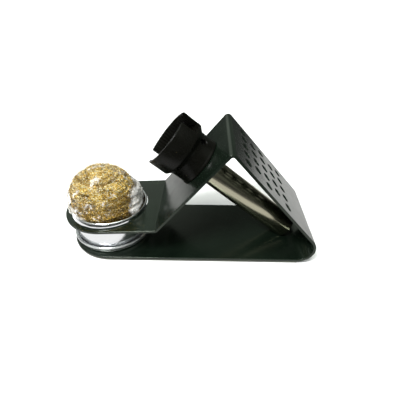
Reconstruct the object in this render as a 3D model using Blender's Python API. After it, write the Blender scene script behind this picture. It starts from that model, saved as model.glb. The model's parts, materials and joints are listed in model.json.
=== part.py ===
"""Soldering iron stand: a bent steel frame with a guide tube and holder cup, and a tin of brass wool.

Metres, +Z up. The origin is the middle of the footprint, on the surface that the stand rests on.
+X points to the heel (the bend at the tube's lower end) and -Y to the front.
"""

from math import atan2, cos, pi, radians, sin, tan

import bmesh
import bpy

MM = 0.001
GAP = 0.3 * MM  # between pieces that touch

# Bent sheet frame. Its corners are where the outer faces would meet without their bends.
SHEET_WIDTH = 70 * MM
SHEET = 2.0 * MM
PAD_HEIGHT = 2.0 * MM
PAD_INSET = 0.8 * MM
BACK_ANGLE = radians(49.0)
SLOPE_ANGLE = radians(50.2)
PLATFORM_FALL = radians(2.8)
APEX_HEIGHT = 92.9 * MM
CREASE_HEIGHT = 29.0 * MM
PLATFORM_LENGTH = 76.3 * MM
BASE_SHORTER = 3.2 * MM  # the base ends this far inside the platform's end
HEEL_BEND = 12.2 * MM
APEX_BEND = 3.5 * MM
CREASE_BEND = 1.5 * MM

# Perforated field in the back panel: staggered rows down from the apex corner.
PERFORATION_RADIUS = 3.4 * MM
PERFORATION_PITCH = 12.0 * MM
PERFORATION_FIRST = 17.2 * MM
PERFORATION_ROWS = (5, 4, 5, 4, 5)

# Holder axis: it stands square on the slope panel, this far uphill of the crease.
HOLDER_UPHILL = 49.4 * MM
TUBE_RADIUS = 10.15 * MM
TUBE_WALL = 0.8 * MM
TUBE_ABOVE = 13.0 * MM
TUBE_BELOW = 92.5 * MM
TUBE_HOLE_CLEAR = 0.4 * MM
RING_RADIUS = 14.5 * MM
RING_THICKNESS = 3.0 * MM
RING_CHAMFER = 0.5 * MM

CUP_FOOT_RADIUS = 18.9 * MM
CUP_LOW_RADIUS = 18.3 * MM
CUP_HIGH_RADIUS = 21.65 * MM
CUP_WALL = 2.2 * MM
CUP_CONE = (12.6 * MM, 16.2 * MM)  # heights between which the outside widens
CUP_FLOOR = 18.3 * MM
CUP_HEIGHT = 30.8 * MM
CUP_SLOT = 18.7 * MM
CUP_LIP = 0.7 * MM
CUP_FOOT_STEP = (1.2 * MM, 2.2 * MM)  # heights between which the foot ring narrows
CUP_FLOOR_RADIUS = 15 * MM  # inside this the floor slopes down to the tube
RIB_DEPTH = 0.5 * MM
RIB_COUNT = 48

SCREW_HEIGHT = 9.8 * MM
SCREW_TURN = radians(-21.5)
SCREW_HOLE_RADIUS = 2.5 * MM
SCREW_LENGTH = 5.6 * MM
SOCKET_FLATS = 2.5 * MM
SOCKET_DEPTH = 2.5 * MM
SCREW_CHAMFER = 0.4 * MM

# Tin of brass wool, standing in its own lid on the base, under the hole in the platform.
TIN_FROM_END = SHEET_WIDTH / 2  # its axis is also the middle of the half round ends
PLATFORM_HOLE_RADIUS = 30.4 * MM
TIN_RADIUS = 28.8 * MM
TIN_WALL = 0.5 * MM
TIN_CURL = 0.8 * MM
TIN_TOP = 32.4 * MM
LID_RADIUS = 31.6 * MM
LID_HEIGHT = 5.3 * MM
LID_FLOOR = 0.5 * MM
LID_CURL = 0.85 * MM
LID_CURL_OUT = 1.6 * MM  # the rolled edge stands out this far from the lid's wall
TIN_CORNER_BEND = 1.4 * MM
LID_CORNER_BEND = 0.9 * MM

WOOL_RADIUS = 24.6 * MM
WOOL_TOP = 63.5 * MM
WOOL_SHOULDER = 43.3 * MM
WOOL_TO_END = 2.4 * MM  # the ball leans against this side of the tin
FILM_CLEAR = 0.4 * MM
FILM_THICKNESS = 0.5 * MM
FILM_LOW = 18.0 * MM
WOOL_BOTTOM_BEND = 6 * MM

ROUND = 48
HOLE_SIDES = 16
CUT_REACH = 8 * MM  # how far a hole's cutter runs to each side of the sheet
CUT_OVER = 3 * MM


def clear_scene():
    for old in list(bpy.data.objects):
        bpy.data.objects.remove(old, do_unlink=True)


def material(name, colour, roughness, metallic=0.0, alpha=1.0):
    made = bpy.data.materials.new(name)
    made.use_nodes = True
    shader = made.node_tree.nodes["Principled BSDF"]
    shader.inputs["Base Color"].default_value = (*colour, 1.0)
    shader.inputs["Roughness"].default_value = roughness
    shader.inputs["Metallic"].default_value = metallic
    shader.inputs["Alpha"].default_value = alpha
    return made


def mesh_object(name, bm, made_of=None):
    """Turn a closed bmesh into an object with its faces pointing out and its round sides smooth."""
    bmesh.ops.recalc_face_normals(bm, faces=bm.faces)
    mesh = bpy.data.meshes.new(name)
    bm.to_mesh(mesh)
    bm.free()
    mesh.shade_smooth()
    mesh.set_sharp_from_angle(angle=radians(32))
    obj = bpy.data.objects.new(name, mesh)
    bpy.context.scene.collection.objects.link(obj)
    if made_of:
        mesh.materials.append(made_of)
    return obj


def arc(centre, radius, start, end, steps):
    """Points on an arc, both ends included."""
    turns = [start + (end - start) * i / steps for i in range(steps + 1)]
    return [(centre[0] + radius * cos(a), centre[1] + radius * sin(a)) for a in turns]


def turned(name, profile, made_of=None, sides=ROUND):
    """Turn a closed (radius, height) outline about local Z. Points on the axis become single points."""
    bm = bmesh.new()
    rings = []
    for radius, height in profile:
        if radius < 1e-7:
            rings.append([bm.verts.new((0, 0, height))] * sides)
        else:
            turns = [2 * pi * i / sides for i in range(sides)]
            rings.append([bm.verts.new((radius * cos(a), radius * sin(a), height)) for a in turns])
    for low, high in zip(rings, rings[1:] + rings[:1]):
        for i in range(sides):
            j = (i + 1) % sides
            corners = list(dict.fromkeys((low[i], low[j], high[j], high[i])))
            if len(corners) > 2:
                bm.faces.new(corners)
    return mesh_object(name, bm, made_of)


def prism(name, outline, low, high, made_of=None, along="Z"):
    """Extrude a closed outline: (x, y) along Z, or (x, z) along Y."""
    def place(point, depth):
        return (point[0], point[1], depth) if along == "Z" else (point[0], depth, point[1])

    bm = bmesh.new()
    first = [bm.verts.new(place(point, low)) for point in outline]
    last = [bm.verts.new(place(point, high)) for point in outline]
    bm.faces.new(first)
    bm.faces.new(last[::-1])
    for i in range(len(outline)):
        j = (i + 1) % len(outline)
        bm.faces.new((first[i], last[i], last[j], first[j]))
    return mesh_object(name, bm, made_of)


def cutter(obj):
    obj.hide_render = True
    obj.display_type = "WIRE"
    return obj


def boolean(target, tool, operation="DIFFERENCE"):
    modifier = target.modifiers.new(tool.name, "BOOLEAN")
    modifier.operation = operation
    modifier.object = tool


def round_cutter(name, radius, low, high, sides=HOLE_SIDES):
    return cutter(turned(name, [(0, low), (radius, low), (radius, high), (0, high)], sides=sides))


def line_meet(p, a, q, b):
    """Where the line through p at angle a meets the line through q at angle b."""
    cross = cos(a) * sin(b) - sin(a) * cos(b)
    reach = ((q[0] - p[0]) * sin(b) - (q[1] - p[1]) * cos(b)) / cross
    return (p[0] + reach * cos(a), p[1] + reach * sin(a))


def rounded(points, radii, steps):
    """Replace each inner corner of an open line by an arc of its radius."""
    path = [points[0]]
    for before, here, after, radius, count in zip(points, points[1:], points[2:], radii, steps):
        into = atan2(here[1] - before[1], here[0] - before[0])
        out = atan2(after[1] - here[1], after[0] - here[0])
        turn = (out - into + pi) % (2 * pi) - pi
        side = 1 if turn > 0 else -1
        back = radius * tan(abs(turn) / 2)
        start = (here[0] - back * cos(into), here[1] - back * sin(into))
        centre = (start[0] - side * radius * sin(into), start[1] + side * radius * cos(into))
        path += arc(centre, radius, into - side * pi / 2, into - side * pi / 2 + turn, count)
    return path + [points[-1]]


class Sheet:
    """The frame's side profile: its corners in X and Z, worked out from the driving dimensions."""

    def __init__(self):
        low = PAD_HEIGHT
        back_run = APEX_HEIGHT / tan(BACK_ANGLE)
        slope_run = (APEX_HEIGHT - CREASE_HEIGHT) / tan(SLOPE_ANGLE)
        platform_run = PLATFORM_LENGTH * cos(PLATFORM_FALL)
        heel_reach = HEEL_BEND / tan(BACK_ANGLE / 2) - HEEL_BEND
        length = back_run + slope_run + platform_run - heel_reach
        self.end = -length / 2
        self.heel = (length / 2 + heel_reach, low)
        self.apex = (self.heel[0] - back_run, low + APEX_HEIGHT)
        self.crease = (self.apex[0] - slope_run, low + CREASE_HEIGHT)
        drop = PLATFORM_LENGTH * sin(PLATFORM_FALL)
        self.tip = (self.end, self.crease[1] - drop)
        self.base_end = (self.end + BASE_SHORTER, low)

    def outline(self):
        outer = [self.base_end, self.heel, self.apex, self.crease, self.tip]
        ways = [0.0, pi - BACK_ANGLE, pi + SLOPE_ANGLE, pi + PLATFORM_FALL]
        moved = [(p[0] - SHEET * sin(a), p[1] + SHEET * cos(a)) for p, a in zip(outer, ways)]
        last = (self.tip[0] - SHEET * sin(ways[3]), self.tip[1] + SHEET * cos(ways[3]))
        inner = [moved[0]]
        for i in (1, 2, 3):
            inner.append(line_meet(moved[i - 1], ways[i - 1], moved[i], ways[i]))
        inner.append(last)
        steps = (12, 8, 4)
        outside = rounded(outer, (HEEL_BEND, APEX_BEND, CREASE_BEND), steps)
        bends = (HEEL_BEND - SHEET, APEX_BEND - SHEET, CREASE_BEND + SHEET)
        return outside + rounded(inner, bends, steps)[::-1]

    def holder_foot(self):
        return (
            self.crease[0] + HOLDER_UPHILL * cos(SLOPE_ANGLE),
            0,
            self.crease[1] + HOLDER_UPHILL * sin(SLOPE_ANGLE),
        )

    def tin_centre(self):
        return self.end + TIN_FROM_END


def end_cutter(name, end, low, high):
    """What is cut from a square sheet end to leave a half round one."""
    half = SHEET_WIDTH / 2
    centre = end + half
    side, tip = half + CUT_OVER, end - CUT_OVER
    outline = arc((centre, 0), half, 1.5 * pi, 0.5 * pi, 36)
    outline += [(centre, side), (tip, side), (tip, -side), (centre, -side)]
    return cutter(prism(name, outline, low, high))


def perforations(sheet):
    down = (cos(BACK_ANGLE), -sin(BACK_ANGLE))
    for row, count in enumerate(PERFORATION_ROWS):
        along = PERFORATION_FIRST + row * PERFORATION_PITCH
        for i in range(count):
            across = (i - (count - 1) / 2) * PERFORATION_PITCH
            name = f"cut_perforation_{row}_{i}"
            hole = round_cutter(name, PERFORATION_RADIUS, -CUT_REACH, CUT_REACH)
            hole.location = (sheet.apex[0] + along * down[0], across, sheet.apex[1] + along * down[1])
            hole.rotation_euler = (0, pi / 2 - BACK_ANGLE, 0)
            yield hole


def stand_frame(sheet, paint, holder):
    frame = prism("stand_frame", sheet.outline(), -SHEET_WIDTH / 2, SHEET_WIDTH / 2, paint, "Y")
    middle = (sheet.tip[1] + PAD_HEIGHT) / 2
    above = sheet.crease[1] + CUT_OVER
    boolean(frame, end_cutter("cut_base_end", sheet.base_end[0], -CUT_OVER, middle))
    boolean(frame, end_cutter("cut_platform_end", sheet.end, middle, above))
    opening = round_cutter("cut_platform_hole", PLATFORM_HOLE_RADIUS, middle, above, ROUND)
    opening.location = (sheet.tin_centre(), 0, 0)
    boolean(frame, opening)
    clearance = TUBE_RADIUS + TUBE_HOLE_CLEAR
    passage = round_cutter("cut_tube_hole", clearance, -CUT_REACH, CUT_REACH, ROUND)
    passage.parent = holder
    boolean(frame, passage)
    for hole in perforations(sheet):
        boolean(frame, hole)
    return frame


def base_pad(sheet, rubber):
    half = SHEET_WIDTH / 2 - PAD_INSET
    right = sheet.heel[0] - HEEL_BEND / tan(BACK_ANGLE / 2)
    centre = sheet.base_end[0] + SHEET_WIDTH / 2
    outline = arc((centre, 0), half, 1.5 * pi, 0.5 * pi, 24) + [(right, half), (right, -half)]
    return prism("base_pad", outline, 0, PAD_HEIGHT - GAP, rubber)


def guide_tube(sheet, holder, steel):
    outer, inner = TUBE_RADIUS, TUBE_RADIUS - TUBE_WALL
    low, high = -TUBE_BELOW, TUBE_ABOVE
    tube = turned("guide_tube", [(inner, low), (outer, low), (outer, high), (inner, high)], steel)
    tube.parent = holder
    # The lower lip is cut level, just clear of the base.
    floor = PAD_HEIGHT + SHEET + GAP
    apex_x, heel_x, side = sheet.apex[0], sheet.heel[0], SHEET_WIDTH / 2
    outline = [(apex_x, -side), (heel_x, -side), (heel_x, side), (apex_x, side)]
    boolean(tube, cutter(prism("cut_tube_lip", outline, floor - TUBE_RADIUS, floor)))
    return tube


def tube_ring(holder, steel):
    inner = TUBE_RADIUS + GAP
    top = -SHEET - GAP
    low = top - RING_THICKNESS
    edge = RING_CHAMFER
    profile = [
        (inner, low),
        (RING_RADIUS - edge, low),
        (RING_RADIUS, low + edge),
        (RING_RADIUS, top - edge),
        (RING_RADIUS - edge, top),
        (inner, top),
    ]
    ring = turned("tube_retaining_ring", profile, steel)
    ring.parent = holder
    return ring


def cup_body(plastic):
    """The cup's turned shape: a thick lower collar round the tube, a thin upper one round the grip."""
    bore = TUBE_RADIUS + GAP
    inside = CUP_HIGH_RADIUS - CUP_WALL + RIB_DEPTH / 2  # the ribbed lining covers this half step
    seat = TUBE_ABOVE + GAP
    lip = CUP_LIP
    top = CUP_HEIGHT
    high = CUP_HIGH_RADIUS
    profile = [(bore, GAP), (CUP_FOOT_RADIUS, GAP)]
    profile += [(CUP_FOOT_RADIUS, CUP_FOOT_STEP[0]), (CUP_LOW_RADIUS, CUP_FOOT_STEP[1])]
    profile += [(CUP_LOW_RADIUS, CUP_CONE[0]), (high - 0.5 * MM, CUP_CONE[1] - 0.5 * MM)]
    profile += [(high, CUP_CONE[1] + 0.3 * MM)]
    profile += arc((high - lip, top - lip), lip, 0, pi / 2, 4)
    profile += arc((inside + lip / 2, top - lip / 2), lip / 2, pi / 2, pi, 3)
    profile += [(inside, CUP_FLOOR), (CUP_FLOOR_RADIUS, CUP_FLOOR)]
    profile += [(TUBE_RADIUS - TUBE_WALL, seat), (bore, seat)]
    return turned("holder_cup", profile, plastic)


def rib_ring():
    """Teeth round the inside of the upper collar, as one ring with a toothed inner outline."""
    outer = CUP_HIGH_RADIUS - CUP_WALL / 2
    valley = CUP_HIGH_RADIUS - CUP_WALL
    bm = bmesh.new()
    low, high = CUP_FLOOR - 1 * MM, CUP_HEIGHT - CUP_LIP - 0.2 * MM
    steps = 3 * RIB_COUNT
    inner = []
    turns = [2 * pi * i / steps for i in range(steps)]
    for i, turn in enumerate(turns):
        radius = valley - (RIB_DEPTH if i % 3 == 0 else 0)
        inner.append((radius * cos(turn), radius * sin(turn)))
    around = [(outer * cos(a), outer * sin(a)) for a in turns]
    rows = [[bm.verts.new((x, y, z)) for x, y in line] for line, z in
            ((inner, low), (around, low), (around, high), (inner, high))]
    for first, second in zip(rows, rows[1:] + rows[:1]):
        for i in range(steps):
            j = (i + 1) % steps
            bm.faces.new((first[i], first[j], second[j], second[i]))
    return cutter(mesh_object("add_ribs", bm))


def holder_cup(holder, plastic):
    cup = cup_body(plastic)
    cup.parent = holder
    ribs = rib_ring()
    ribs.parent = holder
    boolean(cup, ribs, "UNION")
    half = CUP_SLOT / 2
    reach = CUP_HIGH_RADIUS + 2 * MM
    outline = [(-reach, -half), (reach, -half), (reach, half), (-reach, half)]
    slot = cutter(prism("cut_slot", outline, CUP_FLOOR, CUP_HEIGHT + 2 * MM))
    slot.parent = holder
    boolean(cup, slot)
    hole = round_cutter("cut_screw_hole", SCREW_HOLE_RADIUS, TUBE_RADIUS - 1 * MM, reach)
    aim_at_screw(hole, holder)
    boolean(cup, hole)
    return cup


def aim_at_screw(obj, holder):
    """Lay an object's local Z along the set screw, from the tube's axis outwards."""
    obj.parent = holder
    obj.location = (0, 0, SCREW_HEIGHT)
    obj.rotation_euler = (0, pi / 2, SCREW_TURN)


def set_screw(holder, steel):
    radius = SCREW_HOLE_RADIUS - GAP
    start = TUBE_RADIUS + GAP
    end = start + SCREW_LENGTH
    edge = SCREW_CHAMFER
    profile = [
        (0, start),
        (radius - edge, start),
        (radius, start + edge),
        (radius, end - edge),
        (radius - edge, end),
        (0, end),
    ]
    screw = turned("cup_set_screw", profile, steel, 24)
    aim_at_screw(screw, holder)
    key = SOCKET_FLATS / 2 / cos(pi / 6)
    socket = round_cutter("cut_screw_socket", key, end - SOCKET_DEPTH, end + 1 * MM, 6)
    aim_at_screw(socket, holder)
    boolean(screw, socket)
    return screw


def tin_body(middle, bottom, aluminium):
    """Open tin: flat floor, small bent corner, straight wall and a rolled lip turned outwards."""
    bend = TIN_CORNER_BEND
    outer, inner = TIN_RADIUS, TIN_RADIUS - TIN_WALL
    lip = TIN_CURL
    centre = (inner + lip, TIN_TOP - lip)
    profile = [(0, bottom)]
    profile += arc((outer - bend, bottom + bend), bend, 1.5 * pi, 2 * pi, 2)
    profile += [(outer, TIN_TOP - 2 * lip - 0.2 * MM)]
    profile += arc(centre, lip, 1.75 * pi, 2.95 * pi, 5)
    profile += [(inner, centre[1])]
    profile += arc((outer - bend, bottom + bend), bend - TIN_WALL, 2 * pi, 1.5 * pi, 2)
    profile += [(0, bottom + TIN_WALL)]
    tin = turned("tin_body", profile, aluminium)
    tin.location = (middle, 0, 0)
    return tin


def tin_lid(middle, bottom, aluminium):
    """Shallow lid lying open side up: flat floor, rounded corner, low wall and a rolled edge."""
    bend = LID_CORNER_BEND
    wall = LID_FLOOR
    outer = LID_RADIUS - LID_CURL_OUT
    inner = outer - wall
    lip = LID_CURL
    top = bottom + LID_HEIGHT
    centre = (LID_RADIUS - lip, top - lip)
    profile = [(0, bottom)]
    profile += arc((outer - bend, bottom + bend), bend, 1.5 * pi, 2 * pi, 2)
    profile += [(outer, centre[1] - lip)]
    profile += arc(centre, lip, 1.8 * pi, 2.95 * pi, 5)
    profile += [(inner, centre[1])]
    profile += arc((outer - bend, bottom + bend), bend - wall, 2 * pi, 1.5 * pi, 2)
    profile += [(0, bottom + wall)]
    lid = turned("tin_lid", profile, aluminium)
    lid.location = (middle, 0, 0)
    return lid


def bun(radius, low, shoulder, top, steps):
    """Half outline of a round bun, from the axis at the bottom to the axis at the top."""
    edge = WOOL_BOTTOM_BEND
    side = arc((radius - edge, low + edge), edge, 1.5 * pi, 2 * pi, 4)
    dome = [(radius * cos(a), shoulder + (top - shoulder) * sin(a)) for a in
            [pi / 2 * i / steps for i in range(steps)]]
    return [(0, low)] + side + dome + [(0, top)]


def brass_wool(middle, bottom, brass):
    wool = turned("brass_wool", bun(WOOL_RADIUS, bottom, WOOL_SHOULDER, WOOL_TOP, 8), brass, 32)
    wool.location = (middle, 0, 0)
    return wool


def wool_wrapper(middle, film):
    """Thin clear film over the wool, closed at the top and open below."""
    def shell(clear, steps=8):
        turns = [pi / 2 * i / steps for i in range(steps)]
        rise = WOOL_TOP - WOOL_SHOULDER + clear
        radius = WOOL_RADIUS + clear
        return [(radius, FILM_LOW)] + [(radius * cos(a), WOOL_SHOULDER + rise * sin(a)) for a in turns]

    inside = shell(FILM_CLEAR)
    outside = shell(FILM_CLEAR + FILM_THICKNESS)
    tops = [(0, WOOL_TOP + FILM_CLEAR + FILM_THICKNESS), (0, WOOL_TOP + FILM_CLEAR)]
    wrapper = turned("wool_wrapper", outside + tops + inside[::-1], film, 32)
    wrapper.location = (middle, 0, 0)
    return wrapper


def main():
    clear_scene()
    sheet = Sheet()
    holder = bpy.data.objects.new("holder_axis", None)
    bpy.context.scene.collection.objects.link(holder)
    holder.location = sheet.holder_foot()
    holder.rotation_euler = (0, -SLOPE_ANGLE, 0)

    paint = material("green_grey_paint", (0.035, 0.05, 0.04), 0.28, 0.0)
    rubber = material("grey_rubber", (0.32, 0.33, 0.29), 0.85)
    stainless = material("stainless_steel", (0.62, 0.60, 0.56), 0.16, 1.0)
    zinc = material("zinc_steel", (0.45, 0.45, 0.46), 0.35, 1.0)
    oxide = material("black_oxide", (0.06, 0.06, 0.06), 0.35, 1.0)
    plastic = material("black_plastic", (0.012, 0.012, 0.011), 0.42)
    aluminium = material("tin_aluminium", (0.80, 0.80, 0.82), 0.22, 1.0)
    brass = material("brass_ribbon", (0.72, 0.50, 0.16), 0.30, 1.0)
    film = material("clear_film", (0.92, 0.93, 0.92), 0.12, 0.0, 0.25)

    stand_frame(sheet, paint, holder)
    base_pad(sheet, rubber)
    guide_tube(sheet, holder, stainless)
    tube_ring(holder, zinc)
    holder_cup(holder, plastic)
    set_screw(holder, oxide)

    middle = sheet.tin_centre()
    lid_bottom = PAD_HEIGHT + SHEET + GAP
    tin_bottom = lid_bottom + LID_FLOOR + GAP
    tin_lid(middle, lid_bottom, aluminium)
    tin_body(middle, tin_bottom, aluminium)
    brass_wool(middle - WOOL_TO_END, tin_bottom + TIN_WALL + GAP, brass)
    wool_wrapper(middle - WOOL_TO_END, film)


main()
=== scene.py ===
"""Looks of the soldering iron stand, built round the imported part.

Metres, +Z up, in the part's own frame: +X to the heel bend, -Y to the front. Every piece's mesh is
written in that frame, with its object at the origin, and rides on one body of the part.
"""

import json
import random
from bisect import bisect_right
from math import atan2, cos, exp, hypot, pi, radians, sin, sqrt, tan

import bmesh
import bpy
from mathutils import Matrix, Vector, geometry, noise


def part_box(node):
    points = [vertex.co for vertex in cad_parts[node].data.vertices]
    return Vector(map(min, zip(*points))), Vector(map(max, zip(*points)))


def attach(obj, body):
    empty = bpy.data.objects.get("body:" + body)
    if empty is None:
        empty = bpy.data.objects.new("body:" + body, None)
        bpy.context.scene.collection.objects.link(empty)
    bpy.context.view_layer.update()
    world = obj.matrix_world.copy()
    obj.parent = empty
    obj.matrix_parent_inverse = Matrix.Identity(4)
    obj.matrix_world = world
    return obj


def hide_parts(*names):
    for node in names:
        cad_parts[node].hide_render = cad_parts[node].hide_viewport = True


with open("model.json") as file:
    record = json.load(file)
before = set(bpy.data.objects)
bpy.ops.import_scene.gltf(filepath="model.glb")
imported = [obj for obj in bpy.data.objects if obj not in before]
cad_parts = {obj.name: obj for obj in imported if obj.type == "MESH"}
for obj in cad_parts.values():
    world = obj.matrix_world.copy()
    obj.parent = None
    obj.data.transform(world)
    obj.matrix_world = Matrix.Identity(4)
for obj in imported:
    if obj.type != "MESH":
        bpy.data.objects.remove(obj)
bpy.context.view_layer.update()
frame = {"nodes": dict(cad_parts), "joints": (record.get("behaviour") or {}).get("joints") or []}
JOINTS = {joint["name"]: joint for joint in frame["joints"]}

MM = 0.001

# The bent sheet frame: thickness, the angles of its legs, its bends' outer radii and its holes.
SHEET = 2.0 * MM
BACK_ANGLE = radians(49.0)
SLOPE_ANGLE = radians(50.2)
PLATFORM_FALL = radians(2.8)
APEX_HEIGHT = 92.9 * MM
PLATFORM_LENGTH = 76.3 * MM
PAD_INSET = 0.8 * MM
HEEL_BEND = 12.2 * MM
APEX_BEND = 3.5 * MM
CREASE_BEND = 1.5 * MM
SHEET_EDGE = 0.32 * MM
PERFORATION_RADIUS = 3.4 * MM
PERFORATION_PITCH = 12.0 * MM
PERFORATION_FIRST = 17.2 * MM
PERFORATION_ROWS = (5, 4, 5, 4, 5)
PLATFORM_HOLE_RADIUS = 30.4 * MM

# The holder: tube, cup and screw, along the axis of the joint that the cup turns on.
TUBE_RADIUS = 10.15 * MM
TUBE_WALL = 0.8 * MM
TUBE_ABOVE = 13.0 * MM
TUBE_BELOW = 92.5 * MM
TUBE_HOLE_RADIUS = TUBE_RADIUS + 0.4 * MM
GAP = 0.3 * MM
CUP_FOOT_RADIUS = 18.9 * MM
CUP_LOW_RADIUS = 18.3 * MM
CUP_HIGH_RADIUS = 21.65 * MM
CUP_WALL = 2.2 * MM
CUP_CONE = (12.6 * MM, 16.2 * MM)
CUP_FLOOR = 18.3 * MM
CUP_HEIGHT = 30.8 * MM
CUP_SLOT = 18.7 * MM
RIB_DEPTH = 0.5 * MM
RIB_COUNT = 48
SCREW_HEIGHT = 9.8 * MM
SCREW_HOLE_RADIUS = 2.5 * MM

# The tin, its lid, the wool and its film.
TIN_RADIUS = 28.8 * MM
TIN_WALL = 0.5 * MM
TIN_CURL = 0.8 * MM
LID_RADIUS = 31.6 * MM
LID_WALL = 0.5 * MM
LID_CURL = 0.85 * MM
LID_CURL_OUT = 1.6 * MM
TIN_CORNER_BEND = 1.4 * MM
LID_CORNER_BEND = 0.9 * MM
WOOL_SHOULDER = 43.3 * MM
WOOL_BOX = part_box("brass_wool")
BUN_X = (WOOL_BOX[0].x + WOOL_BOX[1].x) / 2
BUN_RADIUS = (WOOL_BOX[1].x - WOOL_BOX[0].x) / 2
BUN_STEEP = BUN_RADIUS / (WOOL_BOX[1].z - WOOL_SHOULDER)
LEAN = 1.2 * MM  # above the tin the wool leans this far out over its rim, to the end and to the front

ROUND = 128


# ---------------------------------------------------------------- meshes

def smooth_object(name, bm, material, sharp=35.0):
    """A bmesh as an object, with its faces pointing out, smooth but for edges over an angle."""
    bmesh.ops.recalc_face_normals(bm, faces=bm.faces)
    mesh = bpy.data.meshes.new(name)
    bm.to_mesh(mesh)
    bm.free()
    mesh.shade_smooth()
    mesh.set_sharp_from_angle(angle=radians(sharp))
    mesh.materials.append(material)
    obj = bpy.data.objects.new(name, mesh)
    bpy.context.scene.collection.objects.link(obj)
    return obj


def plain_object(name, vertices, faces, material, normals=None):
    """A mesh from its vertices and faces, smooth, with its own vertex normals where they are given."""
    mesh = bpy.data.meshes.new(name)
    mesh.from_pydata(vertices, [], faces)
    mesh.shade_smooth()
    if normals:
        mesh.normals_split_custom_set_from_vertices(normals)
    mesh.materials.append(material)
    obj = bpy.data.objects.new(name, mesh)
    bpy.context.scene.collection.objects.link(obj)
    return obj


def arc(centre, radius, start, end, steps):
    """Points on an arc, both ends included."""
    turns = [start + (end - start) * i / steps for i in range(steps + 1)]
    return [(centre[0] + radius * cos(a), centre[1] + radius * sin(a)) for a in turns]


def turned(name, profile, material, matrix=None, sides=ROUND, sharp=35.0):
    """Turn a closed (radius, height) outline about local Z. A height may be a function of the turn."""
    bm = bmesh.new()
    rings = []
    for radius, height in profile:
        if not callable(height) and radius < 1e-7:
            rings.append([bm.verts.new((0, 0, height))] * sides)
            continue
        turns = [2 * pi * i / sides for i in range(sides)]
        rings.append([
            bm.verts.new((radius * cos(a), radius * sin(a), height(a) if callable(height) else height))
            for a in turns
        ])
    for low, high in zip(rings, rings[1:] + rings[:1]):
        for i in range(sides):
            j = (i + 1) % sides
            corners = list(dict.fromkeys((low[i], low[j], high[j], high[i])))
            if len(corners) > 2:
                bm.faces.new(corners)
    if matrix is not None:
        bmesh.ops.transform(bm, matrix=matrix, verts=bm.verts)
    return smooth_object(name, bm, material, sharp)


def cut(obj, tool, operation="DIFFERENCE"):
    """Apply a Boolean with a tool object, and remove the tool."""
    modifier = obj.modifiers.new("cut", "BOOLEAN")
    modifier.operation = operation
    modifier.object = tool
    graph = bpy.context.evaluated_depsgraph_get()
    mesh = bpy.data.meshes.new_from_object(obj.evaluated_get(graph))
    obj.modifiers.clear()
    obj.data = mesh
    bpy.data.objects.remove(tool, do_unlink=True)


# ---------------------------------------------------------------- materials

class Shader:
    """A material under construction: its Principled BSDF and the nodes that feed it."""

    def __init__(self, name, colour, roughness, metallic=0.0, **sockets):
        self.material = bpy.data.materials.new(name)
        self.material.use_nodes = True
        self.tree = self.material.node_tree
        self.bsdf = self.tree.nodes["Principled BSDF"]
        self.set(self.bsdf, "Base Color", (*colour, 1.0))
        self.set(self.bsdf, "Roughness", roughness)
        self.set(self.bsdf, "Metallic", metallic)
        for socket, value in sockets.items():
            self.set(self.bsdf, socket.replace("_", " "), value)

    def set(self, node, socket, value):
        """Give a socket a value, or link an output to it."""
        if isinstance(value, bpy.types.NodeSocket):
            self.tree.links.new(value, node.inputs[socket])
        else:
            node.inputs[socket].default_value = value

    def node(self, kind, output=0, sockets=None, **settings):
        made = self.tree.nodes.new("ShaderNode" + kind)
        for key, value in settings.items():
            setattr(made, key, value)
        for socket, value in (sockets or {}).items():
            self.set(made, socket, value)
        return made.outputs[output]

    def place(self, turn=(0, 0, 0), scale=(1, 1, 1)):
        """The row frame's coordinates, turned and then stretched."""
        spot = self.node("TexCoord", "Object")
        turned_spot = self.node("Mapping", sockets={"Vector": spot, "Rotation": turn})
        return self.node("Mapping", sockets={"Vector": turned_spot, "Scale": scale})

    def noise(self, scale, detail=3.0, rough=0.5, at=None, distortion=0.0):
        sockets = {"Scale": scale, "Detail": detail, "Roughness": rough, "Distortion": distortion}
        sockets["Vector"] = at or self.node("TexCoord", "Object")
        return self.node("TexNoise", "Fac", sockets=sockets)

    def ramp(self, value, low, high, to_low=0.0, to_high=1.0):
        """Map a value's stretch low..high to another, smoothly, and hold it outside."""
        sockets = {"Value": value, "From Min": low, "From Max": high, "To Min": to_low, "To Max": to_high}
        return self.node("MapRange", sockets=sockets, interpolation_type="SMOOTHSTEP")

    def mix(self, factor, a, b):
        """Mix two colours."""
        made = self.tree.nodes.new("ShaderNodeMix")
        made.data_type = "RGBA"
        self.set(made, 0, factor)
        self.set(made, 6, (*a, 1.0) if isinstance(a, tuple) else a)
        self.set(made, 7, (*b, 1.0) if isinstance(b, tuple) else b)
        return made.outputs[2]

    def maths(self, operation, a, b=0.0):
        return self.node("Math", sockets={0: a, 1: b}, operation=operation)

    def bump(self, height, distance, strength=1.0):
        """Bump the surface by a height map, distance metres from its 0 to its 1."""
        sockets = {"Height": height, "Distance": distance, "Strength": strength}
        self.set(self.bsdf, "Normal", self.node("Bump", sockets=sockets))


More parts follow.
